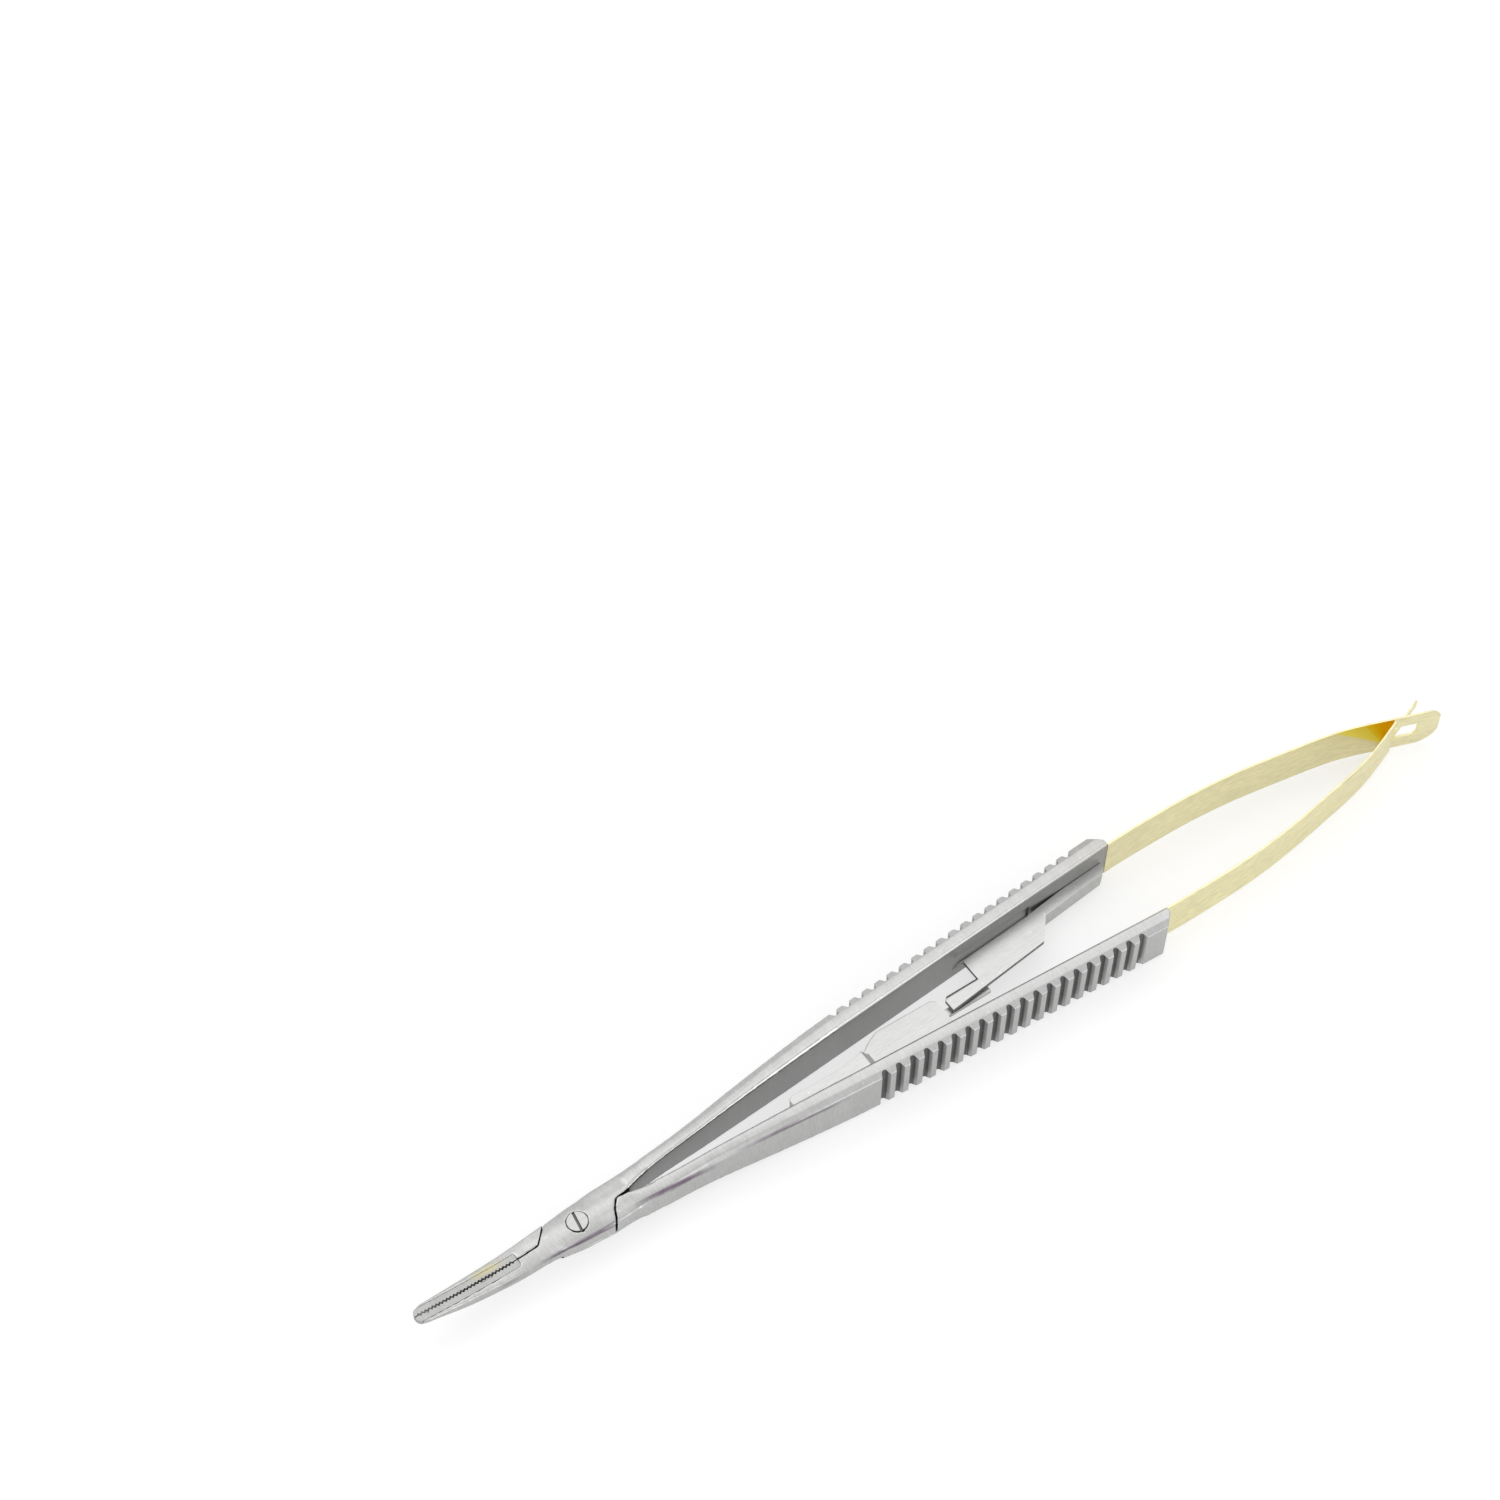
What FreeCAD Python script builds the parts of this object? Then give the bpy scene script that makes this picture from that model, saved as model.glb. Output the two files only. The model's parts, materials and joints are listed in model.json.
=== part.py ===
import FreeCAD, Part
import math
import os

V = FreeCAD.Vector

# Spring-handle micro needle holder with a lock, at rest with its jaws closed.
# All shapes are worked out about the pivot: X runs back to the tail, Y across the opening, Z up,
# and z = 0 is the middle plane. place() then moves them so that the origin lies under the middle
# of the whole instrument, on the surface that it lies on.

# Lengths along X, from the pivot axis
JAW_REACH = 22.4        # forward to the tip
SPRING_ROOT = 85.0      # back to the end of the handle
SPRING_CROSS = 129.8    # back to where the two springs cross
TAB_LENGTH = 6.2        # from the crossing to the end of the rear spring's tab
HANDLE_START = 42.0     # where the shank has grown to the handle's height

# Joint
JOINT_H = 3.0           # both laps together
JOINT_WIDTH = 5.1
JOINT_CROWN = 0.5       # how much lower the joint's long edges are than its middle
JOINT_LOW_IN = 0.15     # how far the joint's lower long edge lies inside its bulging side
EDGE_IN = 0.45          # how far the upper long edge lies inside the side, at the joint
EDGE_IN_END = 24.0      # back to where the shank's side stands upright
JOINT_REACH = 2.5       # how far the joint's own shape goes on behind the rear step
FRONT_STEP = 5.4        # centre of the step in front of the pivot
REAR_STEP = 5.38        # centre of the step behind the pivot
FRONT_LEAN = 0.95       # how far the front step leans back along X for each millimetre outward
REAR_LEAN = 0.79        # how far the rear step leans forward for each millimetre outward
LAP_LEVEL = -0.4        # height of the sliding lap faces
LAP_CLEARANCE = 0.04    # between the sliding lap faces
STEP_CLEARANCE = 0.16   # between a step and the other arm
SEAM = 0.12             # between the closed jaws

# Screw
HEAD_RADIUS = 1.3
HEAD_DEPTH = 0.75
SHAFT_RADIUS = 0.85
RUNNING_FIT = 0.04      # radial, where the upper lap turns on the screw
SLOT_WIDTH = 0.3
SLOT_DEPTH = 0.35
SLOT_ANGLE = 82.0       # from the X axis
END_SLOT_LENGTH = 1.2   # of the short slot in the screw's threaded end

# Arms
HALF_ANGLE = 4.77       # each arm's inner face against the X axis at the pivot
HALF_GAP = 5.83         # from the X axis to the inner face at the spring's root
SHANK_T = 1.85          # thinnest part of the shank, across Y
HANDLE_T = 2.5
HANDLE_H = 7.0
APEX_LENGTH = 6.0       # behind the joint, over which the inner faces part
SHANK_NECK = 13.0       # where the shank is thinnest
SHANK_LAP = 0.3         # how far the shank starts inside the joint
CROWN_SHANK = 0.6       # how much lower the outer edge is than the inner one, up to the neck
CROWN_HANDLE = 0.42
CROWN_BULGE = 0.3       # of the crown's middle above a straight slope, as a share of the crown
EDGE_BEVEL = 0.32       # along the inner edges of the handle
EDGE_BEVEL_FRONT = 0.08  # along the inner edges at the joint
LAND = 0.35             # flat strip beside each bevel, on which the instrument lies
HANDLE_LENGTHS = 4      # straight lengths that follow the handle's slight bow
END_BEVEL = 1.6         # at the outer rear corner of the handle

# Grip grooves
GROOVES = 20
GROOVE_PITCH = 2.02
GROOVE_DEPTH = 0.85
GROOVE_MOUTH = 1.25
GROOVE_RADIUS = 0.42
GROOVE_CHORDS = 5       # flats that make up a groove's round bottom
FIRST_GROOVE = 41.3

# Jaws: distance in front of the pivot, top and bottom at the seam, half width of both jaws together
JAW_STATIONS = ((5.4, 1.34, -1.5, 1.94),
                (8.8, 1.04, -1.75, 1.81),
                (12.4, 1.14, -1.5, 1.63),
                (16.0, 1.36, -0.85, 1.46),
                (19.2, 1.68, 0.25, 1.27),
                (JAW_REACH, 1.95, 1.05, 1.13))
JAW_TOP_CROWN = 0.08    # how much lower a jaw's upper edge is than its seam, as a share of its thickness
JAW_SIDE_BULGE = 1.06   # the widest place below that edge, as a share of the half width
JAW_LOW_W = 0.76        # half width near the bottom, as a share of the half width
JAW_LOW_RISE = 0.12     # of that place above the bottom, as a share of the thickness
JAW_ROOT_DROP = 0.15    # of a jaw's root below the joint's crown, inside the joint
TIP_RADIUS = 1.1        # both jaws end in one round nose
INSERT_LENGTH = 14.0
INSERT_T = 0.85

# Springs
SPRING_T = 0.3
SPRING_H = 6.4
SPRING_ROOT_GAP = 0.1   # bending room between a spring's root and the handle
TAIL_ANGLE = 19.8       # of a spring against the X axis where they cross
TAB_TOP_RADIUS = 1.7
TAB_BOTTOM_RADIUS = 3.0
WINDOW_FRONT = 1.1      # from the crossing forward to the window's end
WINDOW_REAR = 3.1       # from the crossing back to the window's end
WINDOW_H = 2.2
WINDOW_Z = 0.1          # height of the window's middle
WINDOW_ROUND = 0.45     # its lower rear corner
TONGUE_LENGTH = 6.0     # from the crossing back to the tongue's end
TONGUE_H = 1.2
TONGUE_Z = 0.1          # height of the tongue's middle
NECK_FRONT = 0.65       # from the crossing forward to the shoulders of the front spring

# Lock
CATCH_T = 0.6           # thickness of the flat parts of both catches
CATCH_BAR_H = 2.6       # height of the bars that are fixed to the arms
FRONT_BAR_START = 29.8
FRONT_BAR_EDGE = ((29.8, -1.4), (30.1, -1.05), (30.6, -0.92), (33.8, -1.17), (37.3, -1.17), (40.0, -0.9))
FRONT_BAR_END = (41.0, -0.62)   # rear corner of the bar, at the fold
FRONT_FOLD = 1.3        # length of the slope from the bar's top down to the paddle
FRONT_PADDLE_EDGE = ((43.3, 0.8), (44.9, 1.5), (53.2, 1.27), (53.75, 0.85))
FRONT_PADDLE_END = 53.85
FRONT_PADDLE_GAP = 0.5  # between the paddle's near edge and the arm
FRONT_LEVEL = 0.2       # middle of the front catch's paddle, in Z
TONGUE_END = 61.0
LOCK_TONGUE_W = 1.1
LOCK_TONGUE_Y = -1.3    # its near edge, in Y
TONGUE_CORNER = 0.4
RISER_T = 0.45          # of the step from the paddle down to the tongue
REAR_BAR_START = 72.6
REAR_BAR_T = 1.5
REAR_BAR_SET = 0.35     # how far the bar's front end stands off the arm
REAR_BAR_SEAT = 6.0     # length over which it runs back onto the arm
REAR_BAR_INSET = 0.9    # from the handle's end forward to the bar's rear end
REAR_BAR_ROUND = 1.0
REAR_LEVEL = -0.15      # middle of the rear catch's paddle, in Z
HOOK_START = 54.95
HOOK_STEP = 60.3
HOOK_EDGE = ((54.95, -1.35), (54.95, 0.35), (55.6, 1.0))
HOOK_FAR = 0.95         # the hook's far edge at the step, in Y
HOOK_SLOPE = 0.5        # width of the rolled strip along that edge
HOOK_ROLL = 0.4         # how far that strip comes down
REAR_PADDLE_NEAR = (70.6, 0.3)
REAR_PADDLE_GAP = 0.65  # between the paddle's far edge and the arm
CATCH_CLEARANCE = 0.2   # under the hook
RELIEF_DEPTH = 0.3      # shallow pocket in an inner face, behind the other arm's catch
RELIEF_H = 2.8

# Values that follow
TAN_HALF = math.tan(math.radians(HALF_ANGLE))
BOW = (TAN_HALF * SPRING_ROOT - HALF_GAP) / SPRING_ROOT ** 2
TAIL_END = SPRING_CROSS + TAB_LENGTH * math.cos(math.radians(TAIL_ANGLE)) \
    + SPRING_T / 2 * math.sin(math.radians(TAIL_ANGLE))
SHIFT = V((JAW_REACH - TAIL_END) / 2, 0, HANDLE_H / 2)


def blend(a, b, t):
    """Goes smoothly from a to b as t goes from 0 to 1."""
    t = min(1.0, max(0.0, t))
    return a + (b - a) * t * t * (3 - 2 * t)


def inner(x):
    """Y of an arm's inner face: from the closed seam behind the joint into a gentle outward bow."""
    bow = TAN_HALF * x - BOW * x * x
    return blend(SEAM / 2, bow, (x - REAR_STEP) / APEX_LENGTH)


def thickness(x):
    """Of an arm across Y: the joint's half width, down to the neck, up to the handle."""
    if x < SHANK_NECK:
        return blend(JOINT_WIDTH / 2, SHANK_T, x / SHANK_NECK)
    return blend(SHANK_T, HANDLE_T, (x - SHANK_NECK) / (HANDLE_START - SHANK_NECK))


def outer(x):
    return inner(x) + thickness(x)


def half_height(x):
    """Of an arm: it grows fast behind the joint and slowly near the handle."""
    t = min(1.0, max(0.0, (x - REAR_STEP) / (HANDLE_START - REAR_STEP)))
    return JOINT_H / 2 + (HANDLE_H - JOINT_H) / 2 * math.sin(t * math.pi / 2)


def crown(x):
    return blend(CROWN_SHANK, CROWN_HANDLE, (x - SHANK_NECK) / (HANDLE_START - SHANK_NECK))


def edge_in(x):
    """How far the upper outer edge lies inside the side face."""
    return blend(EDGE_IN, 0.0, x / EDGE_IN_END)


def closed(edges):
    return Part.Wire(Part.__sortEdges__(edges))


def line(a, b):
    return Part.makeLine(a, b)


def arc(a, m, b):
    return Part.Arc(a, m, b).toShape()


def polygon(points, z):
    return Part.makePolygon([V(x, y, z) for x, y in points] + [V(points[0][0], points[0][1], z)])


def prism(points, z0, z1):
    """A plan outline of straight sides, extruded from z0 to z1."""
    return Part.Face(polygon(points, z0)).extrude(V(0, 0, z1 - z0))


def side_prism(points, y0, y1):
    """A side outline in X and Z, extruded from y0 to y1."""
    corners = [V(x, y0, z) for x, z in points]
    return Part.Face(Part.makePolygon(corners + [corners[0]])).extrude(V(0, y1 - y0, 0))


def mirrored(shape):
    return shape.mirror(V(0, 0, 0), V(0, 1, 0))


def arm_section(x):
    """Flat inner face with bevelled edges, a narrow land, crowned top and bottom, flat outer face."""
    y0, y1, h = inner(x), outer(x), half_height(x)
    bevel = blend(EDGE_BEVEL_FRONT, EDGE_BEVEL, x / HANDLE_START)
    low = h - crown(x)
    middle = (h + low) / 2 + CROWN_BULGE * crown(x)
    ya = y0 + bevel
    yb = ya + LAND
    ym = (yb + y1) / 2
    inner_edge = [(y0, h - bevel), (ya, h), (yb, h), (ym, middle)]
    corners = [V(x, y, z) for y, z in inner_edge] + [V(x, y1 - edge_in(x), low), V(x, y1, -low)]
    corners += [V(x, y, -z) for y, z in reversed(inner_edge)]
    return Part.makePolygon(corners + [corners[0]])


def shank():
    """From just inside the joint's rear end back to the handle, on the +Y side."""
    first = REAR_STEP + JOINT_REACH - SHANK_LAP
    stations = [first, SHANK_NECK - 2.0, 16.0, 22.0, 29.0, 36.0, HANDLE_START]
    return Part.makeLoft([arm_section(x) for x in stations], True, False)


def groove(x):
    """One cutter: slanted flanks that run into a round bottom, through the full height."""
    y = outer(x)
    yaw = math.degrees(math.atan(TAN_HALF - 2 * BOW * x))
    half = GROOVE_MOUTH / 2
    centre = -GROOVE_DEPTH + GROOVE_RADIUS
    lift = 0.2
    flare = half + lift * (half - GROOVE_RADIUS) / (GROOVE_DEPTH - GROOVE_RADIUS)
    points = [(-flare, lift), (flare, lift)]
    for i in range(GROOVE_CHORDS + 1):
        turn = math.pi * i / GROOVE_CHORDS
        points.append((GROOVE_RADIUS * math.cos(turn), centre - GROOVE_RADIUS * math.sin(turn)))
    cutter = prism(points, -HANDLE_H, HANDLE_H)
    cutter.translate(V(x, y, 0))
    cutter.rotate(V(x, y, 0), V(0, 0, 1), yaw)
    return cutter


def handle():
    """The grip on the +Y side in straight lengths that follow the bow, its outer rear corner bevelled."""
    step = (SPRING_ROOT - HANDLE_START) / HANDLE_LENGTHS
    grip = None
    for i in range(HANDLE_LENGTHS):
        x = HANDLE_START + i * step
        length = Part.Face(arm_section(x)).extrude(V(step, inner(x + step) - inner(x), 0))
        grip = length if grip is None else grip.fuse(length)
    y = outer(SPRING_ROOT)
    corner = prism([(SPRING_ROOT - END_BEVEL, y + 1), (SPRING_ROOT - END_BEVEL, y),
                    (SPRING_ROOT, y - END_BEVEL), (SPRING_ROOT + 1, y - END_BEVEL), (SPRING_ROOT + 1, y + 1)],
                   -HANDLE_H, HANDLE_H)
    return grip.cut(corner)


def jaw_section(x, top, bottom, w):
    """Flat at the seam, slightly crowned on top, a bulging side that runs in under the jaw. At +Y."""
    tall = top - bottom
    y0 = SEAM / 2
    edge = V(x, w, top - JAW_TOP_CROWN * tall)
    low = V(x, JAW_LOW_W * w, bottom + JAW_LOW_RISE * tall)
    return closed([
        line(V(x, y0, bottom), V(x, y0, top)),
        arc(V(x, y0, top), V(x, (y0 + w) / 2, top - JAW_TOP_CROWN * tall / 3), edge),
        arc(edge, V(x, JAW_SIDE_BULGE * w, (top + bottom) / 2), low),
        line(low, V(x, y0, bottom))])


def jaw():
    """One jaw on the +Y side, from inside the joint to its round tip."""
    first = JAW_STATIONS[0]
    inside = -FRONT_STEP + FRONT_LEAN * JOINT_WIDTH / 2
    root = jaw_section(inside, JOINT_H / 2 - JAW_ROOT_DROP, JAW_ROOT_DROP - JOINT_H / 2,
                       JOINT_WIDTH / 2 - EDGE_IN)
    body = Part.makeLoft([root] + [jaw_section(-s[0], *s[1:]) for s in JAW_STATIONS], True, False)
    r = TIP_RADIUS
    x = -JAW_REACH
    y = first[3]
    # what lies outside the nose's quarter round is cut away
    q = r * (1 - math.sqrt(0.5))
    edges = [line(V(x - 1, 0, 0), V(x, 0, 0)),
             arc(V(x, 0, 0), V(x + q, r - q, 0), V(x + r, r, 0)),
             line(V(x + r, r, 0), V(x + r + 1, y, 0)),
             line(V(x + r + 1, y, 0), V(x + r + 1, 2 * y, 0)),
             line(V(x + r + 1, 2 * y, 0), V(x - 1, 2 * y, 0)),
             line(V(x - 1, 2 * y, 0), V(x - 1, 0, 0))]
    nose = Part.Face(closed(edges)).extrude(V(0, 0, 3 * JOINT_H))
    nose.translate(V(0, 0, -JOINT_H))
    return body.cut(nose)


def insert_room():
    """The channel for a hard insert, along the seam of the jaw on the +Y side."""
    return Part.makeBox(INSERT_LENGTH + 1, INSERT_T + 1, 10, V(-JAW_REACH - 1, SEAM / 2 - 1, -5))


def joint_envelope():
    """Both laps together: crowned top and bottom, bulging sides, narrower at its front."""
    first = JAW_STATIONS[0]
    wires = []
    for x in (-FRONT_STEP, -FRONT_STEP / 2, 0.0, REAR_STEP / 2, REAR_STEP + JOINT_REACH):
        t = max(0.0, -x / FRONT_STEP)
        side = outer(max(0.0, x)) + (JAW_SIDE_BULGE * first[3] - outer(0.0)) * t
        edge = side - edge_in(x) + (first[3] - JAW_SIDE_BULGE * first[3] + EDGE_IN) * t
        under = side - JOINT_LOW_IN
        top = half_height(x) + (first[1] - JOINT_H / 2) * t * t
        low = -half_height(x)
        crest = top - JOINT_CROWN * (1 - t / 2)
        keel = low + JOINT_CROWN
        wires.append(closed([
            arc(V(x, -edge, crest), V(x, 0, top), V(x, edge, crest)),
            arc(V(x, edge, crest), V(x, side, 0), V(x, under, keel)),
            arc(V(x, under, keel), V(x, 0, low), V(x, -under, keel)),
            arc(V(x, -under, keel), V(x, -side, 0), V(x, -edge, crest))]))
    return Part.makeLoft(wires, True, False)


def lap_outline(grow):
    """Plan of the upper lap between its two steps, grown by a clearance at the steps."""
    reach = JOINT_WIDTH
    far = REAR_STEP + JOINT_REACH
    return [(-FRONT_STEP - grow, 0), (-FRONT_STEP - grow + FRONT_LEAN * reach, reach), (far, reach),
            (far, inner(far) - grow), (REAR_STEP + grow, 0), (REAR_STEP + grow - REAR_LEAN * reach, -reach),
            (-FRONT_STEP - grow, -reach)]


def step_outline():
    """Plan of the part of an arm that stands behind the other arm's lap."""
    reach = JOINT_WIDTH
    far = REAR_STEP + JOINT_REACH
    front = REAR_STEP + STEP_CLEARANCE
    return [(front, SEAM / 2), (front - REAR_LEAN * reach, reach), (far, reach), (far, inner(far))]


def screw_hole(radius, z0, z1):
    return Part.makeCylinder(radius, z1 - z0, V(0, 0, z0))


def lever(above):
    """Lap, shank and handle at +Y. The lap lies above or below the sliding faces."""
    half = LAP_CLEARANCE / 2
    if above:
        own, other = (LAP_LEVEL + half, JOINT_H), (-JOINT_H, LAP_LEVEL + half)
    else:
        own, other = (-JOINT_H, LAP_LEVEL - half), (LAP_LEVEL - half, JOINT_H)
    blank = prism(lap_outline(0), *own).fuse(prism(step_outline(), *other))
    return joint_envelope().common(blank).fuse([shank(), handle()])


def jaw_with_step(flip):
    """The jaw of the arm whose lap lies above (flip 1) or below (flip -1), cut free of the other lap."""
    piece = mirrored(jaw()) if flip > 0 else jaw()
    room = [(x, -y * flip) for x, y in lap_outline(STEP_CLEARANCE)]
    floor = LAP_LEVEL + flip * LAP_CLEARANCE / 2
    z0, z1 = (-JOINT_H, floor) if flip > 0 else (floor, JOINT_H)
    return piece.cut(prism(room, z0, z1))


def relief():
    """Shallow pocket in the inner face on the +Y side, beside the paddles."""
    x0, x1 = HOOK_STEP - 1.2, REAR_BAR_START - 0.8
    y0, y1 = inner(x0), inner(x1)
    pocket = prism([(x0, y0 - 1), (x0, y0 + RELIEF_DEPTH * 0.2), (x0 + 1.5, inner(x0 + 1.5) + RELIEF_DEPTH),
                    (x1, y1 + RELIEF_DEPTH), (x1, y1 - 1)], -RELIEF_H / 2, RELIEF_H / 2)
    pocket.translate(V(0, 0, REAR_LEVEL))
    return pocket


def upper_lap_arm():
    body = lever(True).fuse(jaw_with_step(1))
    body = body.cut(mirrored(insert_room()))
    body = body.cut([groove(FIRST_GROOVE + i * GROOVE_PITCH) for i in range(GROOVES)])
    body = body.cut(relief())
    body = body.cut(screw_hole(SHAFT_RADIUS + RUNNING_FIT, -JOINT_H, JOINT_H))
    return body.cut(screw_hole(HEAD_RADIUS + RUNNING_FIT, JOINT_H / 2 - HEAD_DEPTH - RUNNING_FIT, JOINT_H))


def lower_lap_arm():
    body = mirrored(lever(False)).fuse(jaw_with_step(-1))
    body = body.cut(insert_room())
    grooves = [mirrored(groove(FIRST_GROOVE + i * GROOVE_PITCH)) for i in range(GROOVES)]
    body = body.cut(grooves)
    return body.cut(screw_hole(SHAFT_RADIUS, -JOINT_H, JOINT_H))


def jaw_insert(side):
    """The hard strip along the seam, over the full height of its jaw."""
    strip = jaw().common(insert_room())
    return strip if side > 0 else mirrored(strip)


def pivot_screw():
    """Slotted head flush with the upper lap, threaded end flush with the lower one."""
    top = JOINT_H / 2
    head = screw_hole(HEAD_RADIUS, top - HEAD_DEPTH, top - 0.02)
    shaft = screw_hole(SHAFT_RADIUS, -top + 0.06, top - HEAD_DEPTH)
    screw = head.fuse(shaft)
    slot = Part.makeBox(4 * HEAD_RADIUS, SLOT_WIDTH, SLOT_DEPTH + 1,
                        V(-2 * HEAD_RADIUS, -SLOT_WIDTH / 2, top - SLOT_DEPTH))
    end_slot = Part.makeBox(END_SLOT_LENGTH, SLOT_WIDTH, SLOT_DEPTH + 1,
                            V(-END_SLOT_LENGTH / 2, -SLOT_WIDTH / 2, -top - 1))
    for cut in (slot, end_slot):
        cut.rotate(V(0, 0, 0), V(0, 0, 1), SLOT_ANGLE)
    return screw.cut([slot, end_slot])


def spring_line():
    """Points of a spring's middle line on the +Y side, from its root to past the crossing."""
    y_root = HALF_GAP + SPRING_T / 2
    run = SPRING_CROSS - SPRING_ROOT
    points = []
    for share, drop in ((0, 0), (0.15, -0.02), (0.33, 0.01), (0.5, 0.133), (0.67, 0.334), (0.84, 0.587)):
        points.append(V(SPRING_ROOT + SPRING_ROOT_GAP + share * run, y_root * (1 - drop), 0))
    points.append(V(SPRING_CROSS, 0, 0))
    return points


def spring_strip(length_past):
    """A bent strip of full height: a smooth curve to the crossing and a straight end past it."""
    side = V(-math.sin(math.radians(TAIL_ANGLE)), -math.cos(math.radians(TAIL_ANGLE)), 0)
    along = V(math.cos(math.radians(TAIL_ANGLE)), -math.sin(math.radians(TAIL_ANGLE)), 0)
    points = spring_line()
    middle = Part.BSplineCurve()
    middle.interpolate(Points=points, InitialTangent=V(1, TAN_HALF - 2 * BOW * SPRING_ROOT, 0), FinalTangent=along)
    rails = []
    for sign in (-1, 1):
        moved = []
        for p in points:
            t = middle.tangent(middle.parameter(p))[0]
            moved.append(p + V(-t.y, t.x, 0) * (sign * SPRING_T / 2))
        rail = Part.BSplineCurve()
        rail.interpolate(Points=moved, InitialTangent=middle.tangent(middle.FirstParameter)[0],
                         FinalTangent=middle.tangent(middle.LastParameter)[0])
        rails.append((rail.toShape(), moved))
    (near, near_points), (far, far_points) = rails
    near_end = near_points[-1] + along * length_past
    far_end = far_points[-1] + along * length_past
    outline = closed([near, line(near_points[-1], near_end), line(near_end, far_end),
                      line(far_end, far_points[-1]), far, line(far_points[0], near_points[0])])
    strip = Part.Face(outline).extrude(V(0, 0, SPRING_H))
    strip.translate(V(0, 0, -SPRING_H / 2))
    return strip


def along_tail(s):
    """X of a point s past the crossing, measured along a spring."""
    return SPRING_CROSS + s * math.cos(math.radians(TAIL_ANGLE))


def rear_spring():
    """On the +Y side: its end is a rounded tab with a window for the other spring's tongue."""
    strip = spring_strip(TAB_LENGTH)
    half = SPRING_H / 2
    front = SPRING_ROOT - 1
    last = along_tail(TAB_LENGTH)
    ra, rb = TAB_TOP_RADIUS, TAB_BOTTOM_RADIUS
    q = math.sqrt(0.5)
    edges = [line(V(front, 0, half), V(last - ra, 0, half)),
             arc(V(last - ra, 0, half), V(last - ra + ra * q, 0, half - ra + ra * q), V(last, 0, half - ra)),
             line(V(last, 0, half - ra), V(last, 0, -half + rb)),
             arc(V(last, 0, -half + rb), V(last - rb + rb * q, 0, -half + rb - rb * q), V(last - rb, 0, -half)),
             line(V(last - rb, 0, -half), V(front, 0, -half)),
             line(V(front, 0, -half), V(front, 0, half))]
    side = Part.Face(closed(edges)).extrude(V(0, 30, 0))
    side.translate(V(0, -15, 0))
    x0, x1 = along_tail(-WINDOW_FRONT), along_tail(WINDOW_REAR)
    low, high = WINDOW_Z - WINDOW_H / 2, WINDOW_Z + WINDOW_H / 2
    window = side_prism([(x0, low), (x1 - WINDOW_ROUND, low), (x1, low + WINDOW_ROUND), (x1, high), (x0, high)], -4, 4)
    return strip.common(side).cut(window)


def front_spring():
    """On the -Y side: behind its shoulders only a tongue goes on, through the window."""
    strip = spring_strip(TONGUE_LENGTH)
    half = SPRING_H / 2
    low, high = TONGUE_Z - TONGUE_H / 2, TONGUE_Z + TONGUE_H / 2
    neck = along_tail(-NECK_FRONT)
    end = along_tail(TONGUE_LENGTH) + 1
    side = side_prism([(SPRING_ROOT - 1, half), (neck, half), (neck, high), (end, high), (end, low), (neck, low),
                       (neck, -half), (SPRING_ROOT - 1, -half)], -15, 15)
    return mirrored(strip.common(side))


def front_catch():
    """On the lower-lap arm, at -Y: a bar on the inner face, a flat paddle and a narrow tongue below the hook."""
    z = FRONT_LEVEL
    low, high = z - CATCH_T / 2, z + CATCH_T / 2
    top = low + CATCH_BAR_H
    a = FRONT_BAR_START
    b, b_edge = FRONT_BAR_END
    seat = -inner(b)
    bar = prism([(a, -inner(a))] + list(FRONT_BAR_EDGE) + [(b, b_edge), (b, seat)], low, top)
    f = b + FRONT_FOLD
    fold = side_prism([(b, low), (b, top), (f, high), (f, low)], seat, b_edge)
    e = FRONT_PADDLE_END
    paddle = prism([(b, seat), (b, b_edge)] + list(FRONT_PADDLE_EDGE) + [
        (e, -inner(e) + FRONT_PADDLE_GAP), (f, seat)], low, high)
    # the tongue lies one step lower, to pass under the other catch's hook
    under = REAR_LEVEL - CATCH_T / 2 - CATCH_CLEARANCE
    t0 = LOCK_TONGUE_Y
    t1 = t0 + LOCK_TONGUE_W
    start = e - RISER_T
    riser = prism([(start, t0), (e, t0), (e, t1), (start, t1)], under - CATCH_T, high)
    tongue = prism([(start, t0), (TONGUE_END, t0), (TONGUE_END, t1 - TONGUE_CORNER),
                    (TONGUE_END - TONGUE_CORNER, t1), (start, t1)], under - CATCH_T, under)
    return bar.fuse([fold, paddle, riser, tongue]).removeSplitter()


def rear_catch():
    """On the upper-lap arm, at +Y: a bar at the handle's end, a flat paddle that runs forward, and a hook."""
    z = REAR_LEVEL
    low, high = z - CATCH_T / 2, z + CATCH_T / 2
    a, b = REAR_BAR_START, SPRING_ROOT - REAR_BAR_INSET
    far = inner(a) - REAR_BAR_SET
    near = far - REAR_BAR_T
    seat = a + REAR_BAR_SEAT
    bar = prism([(a, near), (a, far), (seat, inner(seat)), (b, inner(b)),
                 (b, inner(b) - REAR_BAR_T / 2), (b - REAR_BAR_ROUND, inner(b) - REAR_BAR_T)],
                high - CATCH_BAR_H, high)
    s = HOOK_STEP
    overlap = a + CATCH_T
    paddle = prism([(overlap, far), (overlap, near), REAR_PADDLE_NEAR] + list(HOOK_EDGE) + [
        (s, HOOK_FAR), (s, inner(s) - REAR_PADDLE_GAP)], low, high)
    # the strip along the hook's far edge rolls down
    y = HOOK_FAR + 0.1
    slope = Part.Face(Part.makePolygon([V(HOOK_START - 1, y - HOOK_SLOPE, high), V(HOOK_START - 1, y, high - HOOK_ROLL),
                                        V(HOOK_START - 1, y, high + 1), V(HOOK_START - 1, y - HOOK_SLOPE, high)]))
    paddle = paddle.cut(slope.extrude(V(s - HOOK_START + 1, 0, 0)))
    return bar.fuse(paddle).removeSplitter()


def place(shape):
    moved = shape.copy()
    moved.translate(SHIFT)
    return moved


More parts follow.
